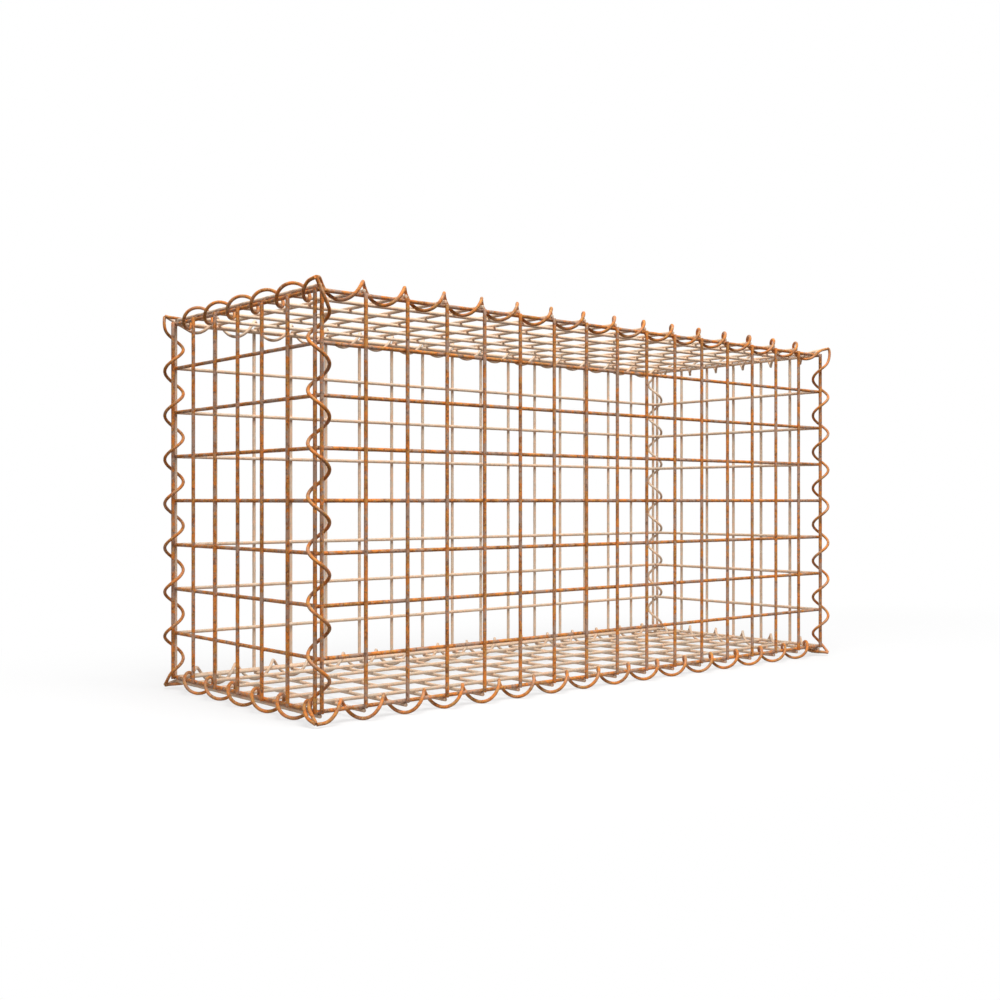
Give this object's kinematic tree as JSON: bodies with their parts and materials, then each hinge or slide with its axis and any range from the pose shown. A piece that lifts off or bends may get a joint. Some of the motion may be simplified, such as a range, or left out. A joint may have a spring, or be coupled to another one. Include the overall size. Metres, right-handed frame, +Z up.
{
  "type": "gabion basket",
  "caption": "Empty closed gabion basket: flat welded wire mesh panels bound along every edge by wire spirals, all rusted; stands on the ground to be filled with stone as a wall block.",
  "frame": {"origin": "on the ground under the middle of the basket", "axes": "+X along the basket's length, +Y from the front panel to the back panel, +Z up"},
  "size_m": [0.8274, 0.3273, 0.4256],
  "materials": {
    "mesh_wire": "rusted, matt, mottled orange-brown with grey bare patches",
    "spiral_wire": "rusted, matt, darker orange-brown with grey bare patches"
  },
  "bodies": {
    "root": {"front_panel": "mesh_wire", "back_panel": "mesh_wire", "left_panel": "mesh_wire", "right_panel": "mesh_wire", "base_panel": "mesh_wire", "lid_panel": "mesh_wire", "front_top_spiral": "spiral_wire", "back_top_spiral": "spiral_wire", "front_base_spiral": "spiral_wire", "back_base_spiral": "spiral_wire", "left_top_spiral": "spiral_wire", "right_top_spiral": "spiral_wire", "left_base_spiral": "spiral_wire", "right_base_spiral": "spiral_wire", "front_left_spiral": "spiral_wire", "back_left_spiral": "spiral_wire", "front_right_spiral": "spiral_wire", "back_right_spiral": "spiral_wire"}
  },
  "joints": []
}
